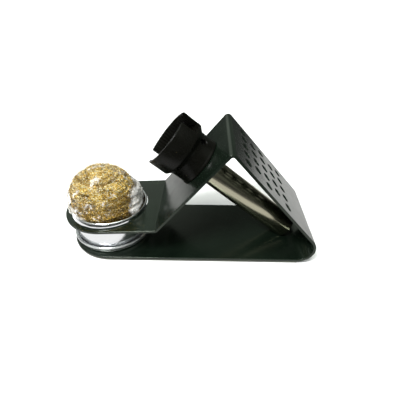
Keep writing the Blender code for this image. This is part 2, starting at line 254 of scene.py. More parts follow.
def paint_material():
    """Dark green-grey gloss paint: soft orange peel, faint cloudiness, dust and rub marks."""
    shader = Shader("green_grey_paint", (0.004, 0.006, 0.004), 0.10, Specular_Tint=(0.91, 1.0, 0.86, 1.0))
    cloud = shader.noise(28, 4.0, 0.6)
    base = shader.mix(shader.ramp(cloud, 0.3, 0.7), (0.0024, 0.0048, 0.0030), (0.0048, 0.0084, 0.0054))
    dust = shader.ramp(shader.noise(1500, 2.0, 0.5), 0.72, 0.80)
    patches = shader.ramp(shader.noise(45, 3.0, 0.5), 0.55, 0.8)
    speck = shader.maths("MULTIPLY", dust, patches)
    colour = shader.mix(shader.maths("MULTIPLY", speck, 0.25), base, (0.30, 0.32, 0.29))
    shader.set(shader.bsdf, "Base Color", colour)
    rub = shader.noise(70, 5.0, 0.65, distortion=0.6)
    shader.set(shader.bsdf, "Roughness", shader.ramp(rub, 0.25, 0.8, 0.13, 0.24))
    shader.bump(shader.noise(420, 2.0, 0.45), 0.03 * MM)
    return shader.material


def rubber_material():
    """Grey-green foam rubber, matt and finely pitted."""
    shader = Shader("grey_rubber", (0.13, 0.14, 0.115), 0.85)
    cloud = shader.noise(160, 4.0, 0.6)
    shader.set(shader.bsdf, "Base Color", shader.mix(cloud, (0.10, 0.105, 0.085), (0.17, 0.18, 0.15)))
    shader.bump(shader.noise(2600, 3.0, 0.7), 0.12 * MM)
    return shader.material


def tube_material():
    """Drawn stainless steel: fine lines along the tube, a warm tone and a few small stains."""
    shader = Shader("stainless_steel", (0.43, 0.41, 0.32), 0.18, 1.0)
    along = shader.place(turn=(0, SLOPE_ANGLE, 0), scale=(1, 1, 0.02))
    lines = shader.noise(2200, 3.0, 0.6, at=along)
    stain = shader.ramp(shader.noise(260, 2.0, 0.5), 0.70, 0.76)
    tone = shader.mix(lines, (0.38, 0.36, 0.27), (0.48, 0.46, 0.35))
    shader.set(shader.bsdf, "Base Color", shader.mix(stain, tone, (0.20, 0.15, 0.09)))
    shader.set(shader.bsdf, "Roughness", shader.ramp(lines, 0.2, 0.8, 0.14, 0.24))
    shader.bump(lines, 0.006 * MM)
    return shader.material


def zinc_material():
    """Zinc plated steel, slightly mottled."""
    shader = Shader("zinc_steel", (0.45, 0.45, 0.46), 0.32, 1.0)
    cloud = shader.noise(420, 4.0, 0.6)
    shader.set(shader.bsdf, "Base Color", shader.mix(cloud, (0.36, 0.36, 0.37), (0.54, 0.54, 0.52)))
    shader.set(shader.bsdf, "Roughness", shader.ramp(cloud, 0.3, 0.7, 0.24, 0.42))
    shader.bump(shader.noise(2400, 2.0), 0.01 * MM)
    return shader.material


def oxide_material():
    """Black oxide on the set screw, oily and a little worn."""
    shader = Shader("black_oxide", (0.05, 0.05, 0.05), 0.35, 0.9)
    worn = shader.ramp(shader.noise(1400, 3.0, 0.6), 0.55, 0.75)
    shader.set(shader.bsdf, "Base Color", shader.mix(worn, (0.035, 0.035, 0.035), (0.16, 0.15, 0.14)))
    shader.bump(shader.noise(3000, 2.0), 0.01 * MM)
    return shader.material


def plastic_material():
    """Black moulded plastic with a satin, finely grained skin."""
    shader = Shader("black_plastic", (0.003, 0.003, 0.002), 0.34, IOR=1.25)
    cloud = shader.noise(120, 4.0, 0.6)
    shader.set(shader.bsdf, "Base Color", shader.mix(cloud, (0.0015, 0.0015, 0.001), (0.0035, 0.0035, 0.0025)))
    shader.set(shader.bsdf, "Roughness", shader.ramp(cloud, 0.25, 0.75, 0.22, 0.34))
    shader.bump(shader.noise(1800, 2.0, 0.5), 0.012 * MM)
    return shader.material


def tin_material(name, metallic):
    """Bright drawn aluminium with a faint grain round the tin and a few dents in its shine."""
    shader = Shader(name, (0.84, 0.85, 0.89), 0.16, metallic)
    grain = shader.noise(900, 3.0, 0.6, at=shader.place(scale=(1, 1, 12)))
    shader.set(shader.bsdf, "Base Color", shader.mix(grain, (0.80, 0.81, 0.84), (0.90, 0.91, 0.93)))
    shader.set(shader.bsdf, "Roughness", shader.ramp(grain, 0.25, 0.75, 0.12, 0.20))
    shader.bump(shader.noise(90, 2.0, 0.4), 0.05 * MM)
    return shader.material


def brass_material(name, dark, mid, light, rough, metallic):
    """Bright brass whose tone changes at random from strand to strand, with painted highlights on small specks and
    painted shade that darkens it low down.
    """
    shader = Shader(name, mid, rough, metallic)
    broad = shader.noise(120, 3.0, 0.6)
    fine = shader.noise(950, 2.0, 0.6)
    height = shader.node("SeparateXYZ", 2, sockets={0: shader.node("TexCoord", "Object")})
    # Painted shade: the brass is darkened towards the bottom of the wool, where less light falls on it.
    painted_shade_by_height = shader.ramp(height, 38 * MM, 54 * MM, 0.42, 1.0)
    tone = shader.mix(shader.maths("MULTIPLY", shader.ramp(broad, 0.34, 0.58), painted_shade_by_height), dark, mid)
    # Painted highlights: small specks of the strands are mixed towards the pale light colour as glints, and there
    # are fewer of them low down.
    bright = shader.maths("MULTIPLY", shader.ramp(fine, 0.48, 0.60), painted_shade_by_height)
    shader.set(shader.bsdf, "Base Color", shader.mix(bright, tone, light))
    shader.set(shader.bsdf, "Roughness", shader.ramp(fine, 0.3, 0.7, rough - 0.06, rough + 0.08))
    shader.bump(shader.noise(4200, 2.0, 0.6), 0.02 * MM)
    return shader.material


def film_material():
    """Thin clear film: it mirrors at its creases and edges, and is a faint white veil face on."""
    shader = Shader("clear_film", (1.0, 0.98, 0.95), 0.06, 0.0)
    shader.bump(shader.noise(520, 3.0, 0.6, distortion=0.8), 0.03 * MM)
    facing = shader.node("LayerWeight", "Fresnel", sockets={"Blend": 0.16})
    haze = shader.ramp(shader.noise(130, 4.0, 0.75, distortion=0.6), 0.55, 0.66, 0.0, 0.42)
    centre = (BUN_X - LEAN, -1.8 * LEAN, WOOL_SHOULDER)
    spot = shader.node("VectorMath", sockets={0: shader.node("TexCoord", "Object"), 1: centre}, operation="SUBTRACT")
    spot = shader.node("VectorMath", sockets={0: spot, 1: (1, 1, BUN_STEEP)}, operation="MULTIPLY")
    spot = shader.node("VectorMath", sockets={0: spot, 1: (-1, -1, 0)}, operation="MAXIMUM")
    reach = shader.node("VectorMath", "Value", sockets={0: spot}, operation="LENGTH")
    skirt = shader.ramp(reach, BUN_RADIUS + 1.8 * MM, BUN_RADIUS + 4.0 * MM, 0.0, 0.54)
    alpha = shader.maths("ADD", shader.maths("MULTIPLY", facing, 0.34), shader.maths("ADD", haze, skirt))
    shader.set(shader.bsdf, "Alpha", shader.maths("MINIMUM", alpha, 0.9))
    return shader.material


# ---------------------------------------------------------------- the bent sheet frame

class Strip:
    """The frame's sheet opened flat: s runs along its outer face from the base's end, y across it."""

    def __init__(self):
        low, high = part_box("stand_frame")
        self.half = high.y
        base_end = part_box("base_pad")[0].x - PAD_INSET
        heel_reach = HEEL_BEND / tan(BACK_ANGLE / 2) - HEEL_BEND
        heel = Vector((high.x + heel_reach, low.z))
        apex = heel + Vector((-APEX_HEIGHT / tan(BACK_ANGLE), APEX_HEIGHT))
        crease_x = low.x + PLATFORM_LENGTH * cos(PLATFORM_FALL)
        crease = Vector((crease_x, apex.y - (apex.x - crease_x) * tan(SLOPE_ANGLE)))
        tip = Vector((low.x, crease.y - PLATFORM_LENGTH * sin(PLATFORM_FALL)))
        self.apex, self.tip = apex, tip
        self.ways = [0.0, pi - BACK_ANGLE, pi + SLOPE_ANGLE, pi + PLATFORM_FALL]
        self.rows = [(0.0, Vector((base_end, low.z)), 0.0)]
        # Each corner's s, as the leg before it and the leg after it measure it.
        self.corner_s, self.corner_after = [], []
        bends = ((heel, HEEL_BEND, 24), (apex, APEX_BEND, 16), (crease, CREASE_BEND, 10))
        for leg, (corner, radius, steps) in enumerate(bends):
            self.bend(corner, radius, steps, self.ways[leg], self.ways[leg + 1])
        s, point, way = self.rows[-1]
        self.length = s + (tip - point).length
        self.rows.append((self.length, tip, way))

    def bend(self, corner, radius, steps, way, next_way):
        """Run straight to the bend at a corner, and then round it."""
        turn = (next_way - way + pi) % (2 * pi) - pi
        side = 1 if turn > 0 else -1
        reach = radius * tan(abs(turn) / 2)
        s, point, _ = self.rows[-1]
        start = corner - reach * Vector((cos(way), sin(way)))
        s += (start - point).length
        self.corner_s.append(s + reach)
        self.corner_after.append(s + radius * abs(turn) - reach)
        centre = start + side * radius * Vector((-sin(way), cos(way)))
        for k in range(steps + 1):
            heading = way + turn * k / steps
            spot = centre + side * radius * Vector((sin(heading), -cos(heading)))
            self.rows.append((s + radius * abs(turn) * k / steps, spot, heading))

    def at(self, s):
        """The outer face's point and heading at s."""
        i = min(max(bisect_right([row[0] for row in self.rows], s) - 1, 0), len(self.rows) - 2)
        (s0, p0, way), (s1, p1, _) = self.rows[i], self.rows[i + 1]
        return p0 + (p1 - p0) * ((s - s0) / (s1 - s0)), way

    def place(self, s, y, depth):
        """A point of the sheet, depth below its outer face."""
        point, way = self.at(s)
        return Vector((point.x - depth * sin(way), y, point.y + depth * cos(way)))

    def ways_at(self, s):
        """The outer face's outward normal, and the direction of growing s."""
        _, way = self.at(s)
        return Vector((sin(way), 0, -cos(way))), Vector((cos(way), 0, sin(way)))


def ring_loop(s, y, radius, count):
    """A hole's edge: its points, with the direction from the sheet into the hole."""
    turns = [2 * pi * i / count for i in range(count)]
    return [((s + radius * cos(a), y + radius * sin(a)), (-cos(a), -sin(a))) for a in turns]


def outline_loop(strip):
    """The sheet's outline: half round ends, and a point at every bend row along both sides."""
    half = strip.half
    sides = [s for s, _, _ in strip.rows if half < s < strip.length - half]
    steps = 48
    loop = []
    for i in range(steps + 1):
        a = -pi / 2 + pi * i / steps
        loop.append(((strip.length - half + half * cos(a), half * sin(a)), (cos(a), sin(a))))
    loop += [((s, half), (0.0, 1.0)) for s in reversed(sides)]
    for i in range(steps + 1):
        a = pi / 2 + pi * i / steps
        loop.append(((half + half * cos(a), half * sin(a)), (cos(a), sin(a))))
    loop += [((s, -half), (0.0, -1.0)) for s in sides]
    return loop


def frame_holes(strip):
    """Every hole as (s, y, radius, points round it)."""
    tin_low, tin_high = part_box("tin_lid")
    tin_x = (tin_low.x + tin_high.x) / 2
    across = (tin_x - strip.tip.x) / cos(PLATFORM_FALL)
    holes = [(strip.length - across, 0.0, PLATFORM_HOLE_RADIUS, 112)]
    foot = Vector(JOINTS["cup_turn"]["pos_m"])
    down_slope = (Vector((foot.x, foot.z)) - strip.apex).length
    holes.append((strip.corner_after[1] + down_slope, 0.0, TUBE_HOLE_RADIUS, 64))
    for row, count in enumerate(PERFORATION_ROWS):
        s = strip.corner_s[1] - PERFORATION_FIRST - row * PERFORATION_PITCH
        for i in range(count):
            holes.append((s, (i - (count - 1) / 2) * PERFORATION_PITCH, PERFORATION_RADIUS, 28))
    return holes


def flat_triangles(strip, flat, chains, holes):
    """Triangles between the loops' inner points, split at every bend row."""
    half = strip.half
    edges = []
    for start, count in chains:
        edges += [(start + i, start + (i + 1) % count) for i in range(count)]
    by_row = {round(s / MM, 4): [] for s, _, _ in strip.rows[1:-1]}
    for i in range(chains[0][1]):
        by_row.get(round(flat[i][0] / MM, 4), []).append(i)
    edges += [tuple(pair) for pair in by_row.values() if len(pair) == 2]
    points = [Vector((s / MM, y / MM)) for s, y in flat]
    _, _, faces, origins, _, _ = geometry.delaunay_2d_cdt(points, edges, [], 0, 1e-6)
    kept = []
    for face in faces:
        corners = [origins[i][0] for i in face]
        s = sum(flat[i][0] for i in corners) / 3
        y = sum(flat[i][1] for i in corners) / 3
        ends = max(half - s, s - (strip.length - half), 0.0)
        inside = hypot(ends, y) < half
        if inside and all(hypot(s - h[0], y - h[1]) > h[2] for h in holes):
            kept.append(corners)
    return kept


def frame_shell(strip, material):
    """The whole frame as one closed sheet with round edges, from the flat strip bent to shape."""
    holes = frame_holes(strip)
    loops = [outline_loop(strip)] + [ring_loop(*hole) for hole in holes]
    levels = [(radians(a), 0) for a in (0, 30, 60, 90)] + [(radians(a), 1) for a in (90, 60, 30, 0)]
    vertices, normals, flat, chains = [], [], [], []
    count = sum(len(loop) for loop in loops)
    for angle, far in levels:
        for loop in loops:
            for (s, y), (out_s, out_y) in loop:
                inset = SHEET_EDGE * (1 - sin(angle))
                dip = SHEET_EDGE * (1 - cos(angle))
                spot = (s - inset * out_s, y - inset * out_y)
                if not (angle or far):
                    flat.append(spot)
                vertices.append(strip.place(*spot, SHEET - dip if far else dip))
                face, along = strip.ways_at(spot[0])
                edge = out_s * along + out_y * Vector((0, 1, 0))
                normals.append(((-face if far else face) * cos(angle) + edge * sin(angle)).normalized())
    start = 0
    for loop in loops:
        chains.append((start, len(loop)))
        start += len(loop)
    faces = []
    for level in range(len(levels) - 1):
        low, high = level * count, (level + 1) * count
        for start, size in chains:
            for i in range(size):
                a, b = start + i, start + (i + 1) % size
                faces.append((low + a, low + b, high + b, high + a))
    top = (len(levels) - 1) * count
    for corners in flat_triangles(strip, flat, chains, holes):
        faces.append(corners)
        faces.append([top + i for i in reversed(corners)])
    shell = plain_object("frame_shell", vertices, faces, material)
    bm = bmesh.new()
    bm.from_mesh(shell.data)
    bmesh.ops.recalc_face_normals(bm, faces=bm.faces)
    bm.to_mesh(shell.data)
    bm.free()
    shell.data.normals_split_custom_set_from_vertices(normals)
    return shell


def pad_shell(strip, material):
    """The rubber pad under the base, with softly rounded edges."""
    low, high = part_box("base_pad")
    half = high.y
    edge = 0.35 * MM
    centre = low.x + half
    outline = [((centre + half * cos(a), half * sin(a)), (cos(a), sin(a)))
               for a in [pi / 2 + pi * i / 48 for i in range(49)]]
    outline += [((high.x, -half), (0.7, -0.7)), ((high.x, half), (0.7, 0.7))]
    rings = [(low.z, edge), (low.z + 0.3 * edge, 0.3 * edge), (low.z + edge, 0.0)]
    rings += [(high.z - edge, 0.0), (high.z - 0.3 * edge, 0.3 * edge), (high.z, edge)]
    bm = bmesh.new()
    rows = [[bm.verts.new((x - inset * ox, y - inset * oy, z)) for (x, y), (ox, oy) in outline]
            for z, inset in rings]
    for first, second in zip(rows, rows[1:]):
        for i in range(len(outline)):
            j = (i + 1) % len(outline)
            bm.faces.new((first[i], first[j], second[j], second[i]))
    bm.faces.new(rows[0][::-1])
    bm.faces.new(rows[-1])
    return smooth_object("base_pad_rubber", bm, material, 50.0)


# ---------------------------------------------------------------- the holder

def holder_matrix():
    """From the holder's own axes (X uphill, Z along the tube and cup) to the row frame."""
    joint = JOINTS["cup_turn"]
    axis = Vector(joint["axis"]).normalized()
    uphill = Vector((axis.z, 0, -axis.x))
    columns = (uphill, Vector((0, 1, 0)), axis)
    return Matrix.Translation(joint["pos_m"]) @ Matrix(columns).transposed().to_4x4()


def tube_shell(holder, material):
    """The guide tube: a round upper end inside the cup, and a lower end whose lip is cut level."""
    foot, axis, uphill = holder.translation, holder.col[2], holder.col[0]
    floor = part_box("guide_tube")[0].z

    def lower(radius, up=0.0):
        def height(turn):
            level = (floor - foot.z - radius * cos(turn) * uphill.z) / axis.z
            return max(-TUBE_BELOW, level) + up
        return height

    edge = 0.22 * MM
    inner, outer = TUBE_RADIUS - TUBE_WALL, TUBE_RADIUS
    profile = [(inner, lower(inner, edge)), (inner + 0.3 * edge, lower(inner, 0.3 * edge))]
    profile += [(inner + edge, lower(inner)), (outer - edge, lower(outer))]
    profile += [(outer - 0.3 * edge, lower(outer, 0.3 * edge)), (outer, lower(outer, edge))]
    profile += arc((outer - edge, TUBE_ABOVE - edge), edge, 0, pi / 2, 3)
    profile += arc((inner + edge, TUBE_ABOVE - edge), edge, pi / 2, pi, 3)
    return turned("guide_tube_steel", profile, material, holder)


def cup_profile():
    """The cup's half outline: foot ring, lower collar, cone, upper collar, round lip and inside."""
    bore = TUBE_RADIUS + GAP
    high = CUP_HIGH_RADIUS
    inside = high - CUP_WALL
    low, foot = CUP_LOW_RADIUS, CUP_FOOT_RADIUS
    edge, lip = 0.35 * MM, 0.7 * MM
    profile = [(bore, GAP)] + arc((foot - edge, GAP + edge), edge, -pi / 2, 0, 3)
    profile += [(foot, 1.2 * MM), (low + 0.12 * MM, 2.1 * MM), (low, 2.5 * MM)]
    profile += [(low, CUP_CONE[0] - 0.5 * MM), (low + 0.12 * MM, CUP_CONE[0])]
    profile += [(high - 0.6 * MM, CUP_CONE[1] - 0.5 * MM), (high - 0.15 * MM, CUP_CONE[1] - 0.1 * MM)]
    profile += [(high, CUP_CONE[1] + 0.5 * MM)]
    profile += arc((high - lip, CUP_HEIGHT - lip), lip, 0, pi / 2, 6)
    profile += arc((inside + lip / 2, CUP_HEIGHT - lip / 2), lip / 2, pi / 2, pi, 4)
    return profile, inside, bore


def ribbed_cup(holder, material):
    """The cup before its slot: turned, with the inside of its upper collar ribbed along the axis."""
    profile, inside, bore = cup_profile()
    per_rib = 6
    sides = RIB_COUNT * per_rib
    ribbed = [(inside, CUP_HEIGHT - 1.2 * MM), (inside, CUP_FLOOR + 0.6 * MM)]
    rest = [(inside, CUP_FLOOR), (15 * MM, CUP_FLOOR), (15 * MM - 0.4 * MM, CUP_FLOOR - 0.3 * MM)]
    rest += [(TUBE_RADIUS - TUBE_WALL, TUBE_ABOVE + GAP), (bore, TUBE_ABOVE + GAP)]
    bm = bmesh.new()
    rows = []
    for step, (radius, height) in enumerate(profile + ribbed + rest):
        in_ribs = len(profile) <= step < len(profile) + len(ribbed)
        ring = []
        for i in range(sides):
            a = 2 * pi * i / sides
            rib = RIB_DEPTH * max(0.0, cos(2 * pi * i / per_rib)) if in_ribs else 0.0
            ring.append(bm.verts.new(((radius - rib) * cos(a), (radius - rib) * sin(a), height)))
        rows.append(ring)
    for first, second in zip(rows, rows[1:] + rows[:1]):
        for i in range(sides):
            j = (i + 1) % sides
            bm.faces.new((first[i], first[j], second[j], second[i]))
    return smooth_object("holder_cup_plastic", bm, material, 30.0)


def box_tool(low, high):
    bm = bmesh.new()
    bmesh.ops.create_cube(bm, size=1.0)
    size, middle = Vector(high) - Vector(low), (Vector(high) + Vector(low)) / 2
    matrix = Matrix.Translation(middle) @ Matrix.Diagonal((*size, 1.0))
    bmesh.ops.transform(bm, matrix=matrix, verts=bm.verts)
    return smooth_object("slot_tool", bm, bpy.data.materials["black_plastic"])


def cup_shell(holder, material):
    """The cup with its cross slot and screw hole cut, and the cut edges softened."""
    cup = ribbed_cup(holder, material)
    half, reach = CUP_SLOT / 2, CUP_HIGH_RADIUS + 2 * MM
    cut(cup, box_tool((-reach, -half, CUP_FLOOR), (reach, half, CUP_HEIGHT + 2 * MM)))
    screw = JOINTS["set_screw_turn"]
    local_way = (holder.to_3x3().inverted() @ Vector(screw["axis"])).normalized()
    turn = local_way.to_track_quat("Z", "Y").to_matrix().to_4x4()
    place = Matrix.Translation((0, 0, SCREW_HEIGHT)) @ turn
    profile = [(0, TUBE_RADIUS - MM), (SCREW_HOLE_RADIUS, TUBE_RADIUS - MM)]
    profile += [(SCREW_HOLE_RADIUS, CUP_LOW_RADIUS - 0.5 * MM), (SCREW_HOLE_RADIUS + 0.5 * MM, CUP_LOW_RADIUS)]
    profile += [(SCREW_HOLE_RADIUS + 0.5 * MM, reach), (0, reach)]
    cut(cup, turned("hole_tool", profile, material, place, 40))
    soften_slot(cup, half)
    cup.data.transform(holder)
    cup.data.shade_smooth()
    cup.data.set_sharp_from_angle(angle=radians(30.0))
    return cup


def soften_slot(cup, half):
    """Bevel the long outer edges that the slot left in the collar."""
    bm = bmesh.new()
    bm.from_mesh(cup.data)
    near = 0.02 * MM
    chosen = []
    for edge in bm.edges:
        a, b = edge.verts[0].co, edge.verts[1].co
        on_wall = all(abs(abs(p.y) - half) < near for p in (a, b))
        outer = all(hypot(p.x, p.y) > CUP_HIGH_RADIUS - CUP_WALL * 0.6 for p in (a, b))
        above = min(a.z, b.z) > CUP_FLOOR + 0.4 * MM
        if on_wall and outer and above and edge.is_manifold and edge.calc_face_angle(0) > radians(35):
            chosen.append(edge)
    bmesh.ops.bevel(bm, geom=chosen, offset=0.2 * MM, segments=2, affect="EDGES", clamp_overlap=True)
    bm.to_mesh(cup.data)
    bm.free()


# ---------------------------------------------------------------- tin and lid

def middle_of(node):
    low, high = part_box(node)
    return (low + high) / 2


def tin_shell(material):
    """The open tin: drawn floor and wall, and a rolled rim."""
    low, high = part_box("tin_body")
    outer, inner, bend, lip = TIN_RADIUS, TIN_RADIUS - TIN_WALL, TIN_CORNER_BEND, TIN_CURL
    centre = (inner + lip, high.z - lip)
    floor = low.z
    profile = [(0, floor), (outer - 6 * MM, floor), (outer - 5 * MM, floor + 0.25 * MM)]
    profile += [(outer - 4 * MM, floor + 0.25 * MM), (outer - 3 * MM, floor)]
    profile += arc((outer - bend, floor + bend), bend, 1.5 * pi, 2 * pi, 8)
    profile += [(outer, high.z - 2 * lip - 0.3 * MM)]
    profile += arc(centre, lip, 1.64 * pi, 2.97 * pi, 18)
    profile += [(inner, centre[1])]
    profile += arc((outer - bend, floor + bend), bend - TIN_WALL, 2 * pi, 1.5 * pi, 6)
    profile += [(outer - 3 * MM, floor + TIN_WALL), (outer - 4 * MM, floor + TIN_WALL + 0.25 * MM)]
    profile += [(outer - 5 * MM, floor + TIN_WALL + 0.25 * MM), (outer - 6 * MM, floor + TIN_WALL)]
    profile += [(0, floor + TIN_WALL)]
    return turned("tin_shell", profile, material, Matrix.Translation((middle_of("tin_body").x, 0, 0)))


def lid_shell(material):
    """The tin's lid, lying open side up under the tin, with a rolled edge."""
    low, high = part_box("tin_lid")
    bend, lip, wall = LID_CORNER_BEND, LID_CURL, LID_WALL
    outer = LID_RADIUS - LID_CURL_OUT
    inner = outer - wall
    centre = (LID_RADIUS - lip, high.z - lip)
    profile = [(0, low.z)] + arc((outer - bend, low.z + bend), bend, 1.5 * pi, 2 * pi, 8)
    profile += [(outer, centre[1] - lip)]
    profile += arc(centre, lip, 1.6 * pi, 2.95 * pi, 16)
    profile += [(inner, centre[1])]
    profile += arc((outer - bend, low.z + bend), bend - wall, 2 * pi, 1.5 * pi, 6)
    profile += [(0, low.z + wall)]
    return turned("lid_shell", profile, material, Matrix.Translation((middle_of("tin_lid").x, 0, 0)))


# ---------------------------------------------------------------- brass wool

def smooth(t):
    """0 below 0, 1 above 1, with an even slope between."""
    t = min(max(t, 0.0), 1.0)
    return t * t * (3 - 2 * t)


class Bun:
    """The wool's outer surface, by turn about its axis and distance m up its side from the bottom."""

    def __init__(self):
        low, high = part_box("brass_wool")
        self.centre = Vector(((low.x + high.x) / 2, 0, 0))
        self.radius = (high.x - low.x) / 2
        self.low, self.top = low.z, high.z
        self.side = WOOL_SHOULDER - low.z
        self.rise = high.z - WOOL_SHOULDER
        steps = 64
        self.dome = [0.0]
        spots = [(self.radius * cos(pi / 2 * i / steps), self.rise * sin(pi / 2 * i / steps))
                 for i in range(steps + 1)]
        for a, b in zip(spots, spots[1:]):
            self.dome.append(self.dome[-1] + hypot(b[0] - a[0], b[1] - a[1]))
        self.length = self.side + self.dome[-1]

    def outline(self, m):
        """Radius, height and outward normal (radial, up) at m."""
        if m <= self.side:
            edge = 6 * MM
            tuck = max(0.0, 1 - m / edge)
            return self.radius - edge * (1 - sqrt(max(0.0, 1 - tuck * tuck))), self.low + m, 1.0, 0.0
        along = min(m - self.side, self.dome[-1])
        i = min(bisect_right(self.dome, along) - 1, len(self.dome) - 2)
        part = (i + (along - self.dome[i]) / (self.dome[i + 1] - self.dome[i])) / (len(self.dome) - 1)
        a = pi / 2 * part
        out, up = cos(a) / self.radius, sin(a) / self.rise
        size = hypot(out, up)
        return self.radius * cos(a), WOOL_SHOULDER + self.rise * sin(a), out / size, up / size

    def point(self, turn, m, lift=0.0):
        radius, height, out, up = self.outline(m)
        reach = radius + lift * out
        z = height + lift * up
        lean = LEAN * smooth((z - 27 * MM) / (9 * MM))
        return self.centre + Vector((reach * cos(turn) - lean, reach * sin(turn) - 1.8 * lean, z))

    def normal(self, turn, m):
        _, _, out, up = self.outline(m)
        return Vector((out * cos(turn), out * sin(turn), up))


def wrap_depth(bun, turn, m):
    """How far the surface dips where one wrap of the wool lies over the next, and swells between."""
    spot = bun.point(turn, m) / MM
    sway = 1.6 * noise.noise(spot * 0.06)
    above = (m - bun.side) / MM
    winding = (turn + pi) / (2 * pi)
    dip = 0.0
    for start, fall, depth in WRAPS:
        away = above - start + fall * winding - sway
        width = 0.9 if away < 0 else 2.0
        dip += depth * exp(-(away / width) ** 2)
    bumps = 1.1 * noise.noise(spot * 0.12) + 0.6 * noise.noise(spot * 0.33 + Vector((7, 3, 1)))
    return (bumps - dip) * MM


# Each wrap's lower edge: its height over the shoulder at the start in mm, its fall in a turn, and its depth.
WRAPS = ((8.0, 7.0, 4.4), (16.5, 5.0, 1.5), (24.0, 4.0, 1.8), (-2.5, 3.0, 0.9), (-13.0, 2.0, 0.9))


def wool_core(bun, material):
    """The dense wool under the loose strands, in dark brass that is painted shade deep inside the wool."""
    bm = bmesh.new()
    sides, steps = 120, 72
    rows = []
    for k in range(steps):
        m = bun.length * (k + 0.5) / (steps + 0.5)
        row = []
        for i in range(sides):
            turn = 2 * pi * i / sides - pi
            rough = 0.25 * MM * noise.noise(bun.point(turn, m) / MM * 1.1)
            row.append(bm.verts.new(bun.point(turn, m, wrap_depth(bun, turn, m) - 1.7 * MM + rough)))
        rows.append(row)
    for first, second in zip(rows, rows[1:]):
        for i in range(sides):
            j = (i + 1) % sides
            bm.faces.new((first[i], first[j], second[j], second[i]))
    bm.faces.new(rows[0][::-1])
    bm.faces.new(rows[-1])
    return smooth_object("wool_core", bm, material, 180.0)


def clear_of_tin(spot, margin):
    """Keep a point of the wool or film off the tin's wall, wherever it isn't well above the rim."""
    if spot.z > RIM_HEIGHT + 0.8 * MM:
        return spot
    reach = hypot(spot.x - TIN_X, spot.y)
    most = TIN_RADIUS - TIN_WALL - margin
    if reach <= most:
        return spot
    return Vector((TIN_X + (spot.x - TIN_X) * most / reach, spot.y * most / reach, spot.z))


TIN_X = middle_of("tin_body").x


def strand_path(bun, chance, m_start, climb, count):
    """One knitted strand round the bun: loops that lean over each other along a slowly climbing row."""
    points = []
    turn, m = chance.uniform(-pi, pi), m_start
    phase = chance.uniform(0, 2 * pi)
    per_loop = 9
    for i in range(count * per_loop):
        radius = max(bun.outline(m)[0], 1.5 * MM)
        swing = 2 * pi * i / per_loop + phase
        spot = bun.point(turn, m) / MM
        size = 0.85 + 0.45 * noise.noise(spot * 0.45)
        lean = 0.55 * size * MM * sin(2 * swing)
        rise = 1.0 * size * MM * cos(swing)
        lift = (0.45 + 0.40 * sin(swing + 0.9) + 0.55 * noise.noise(spot * 0.8)) * MM
        points.append((turn + lean / radius, m + rise, lift))
        turn += LOOP_PITCH / per_loop / radius
        m += climb * LOOP_PITCH / per_loop / (2 * pi * radius)
    return points


LOOP_PITCH = 1.6 * MM
RIM_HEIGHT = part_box("tin_body")[1].z


def ribbon(vertices, faces, spots, ups, width, thickness):
    """Add a flat ribbon with three sides along the spots, its broad side facing up."""
    base = len(vertices)
    last = len(spots) - 1
    for i, (spot, up) in enumerate(zip(spots, ups)):
        along = spots[min(i + 1, last)] - spots[max(i - 1, 0)]
        across = along.cross(up)
        if across.length < 1e-9:
            across = Vector((1, 0, 0))
        across = across.normalized() * (width / 2)
        vertices += [spot - across, spot + across, spot - up * thickness]
    for i in range(last):
        a, b = base + 3 * i, base + 3 * i + 3
        faces += [(a, a + 1, b + 1, b), (a + 1, a + 2, b + 2, b + 1), (a + 2, a, b, b + 2)]
    faces += [(base, base + 2, base + 1), (base + 3 * last, base + 3 * last + 1, base + 3 * last + 2)]


def wool_strands(bun, material):
    """The loose knitted ribbon that covers the bun, row after row from the bottom to the crown."""
    chance = random.Random(7)
    vertices, faces = [], []
    m = 1.0 * MM
    while m < bun.length - 1.2 * MM:
        radius = max(bun.outline(m)[0], 2 * MM)
        loops = int(2 * pi * radius / LOOP_PITCH) + 2
        path = strand_path(bun, chance, m, ROW_PITCH, loops)
        spots, ups = [], []
        for i, (turn, height, lift) in enumerate(path):
            height = min(max(height, 0.2 * MM), bun.length - 0.3 * MM)
            full = 1.3 * MM * exp(-((bun.outline(height)[1] - RIM_HEIGHT) / (5 * MM)) ** 2)
            spot = bun.point(turn, height, wrap_depth(bun, turn, height) + lift + full - 0.75 * MM)
            spots.append(clear_of_tin(spot, 0.65 * MM))
            tilt = Vector((noise.noise(spots[-1] / MM * 0.9), noise.noise(spots[-1] / MM * 0.9 + Vector((9, 0, 0))),
                           noise.noise(spots[-1] / MM * 0.9 + Vector((0, 9, 0)))))
            ups.append((bun.normal(turn, height) + 1.5 * tilt).normalized())
        ribbon(vertices, faces, spots, ups, chance.uniform(0.50, 0.75) * MM, 0.10 * MM)
        m += ROW_PITCH
    return plain_object("wool_strands", vertices, faces, material)


ROW_PITCH = 1.35 * MM


# ---------------------------------------------------------------- film

def facet(spot, scale):
    """A creased height: flat facets that meet at sharp folds."""
    cells = noise.voronoi(spot * scale, distance_metric="MANHATTAN", exponent=2.5)[0]
    return cells[1] - cells[0]


def film_flare(turn):
    """How far the film's skirt stands off the wool and over the rim, by turn: right and left front."""
    degrees = (turn * 180 / pi) % 360
    right = smooth((66 - abs((degrees - 24 + 180) % 360 - 180)) / 30)
    left = smooth((66 - abs(degrees - 205)) / 34)
    return right, left


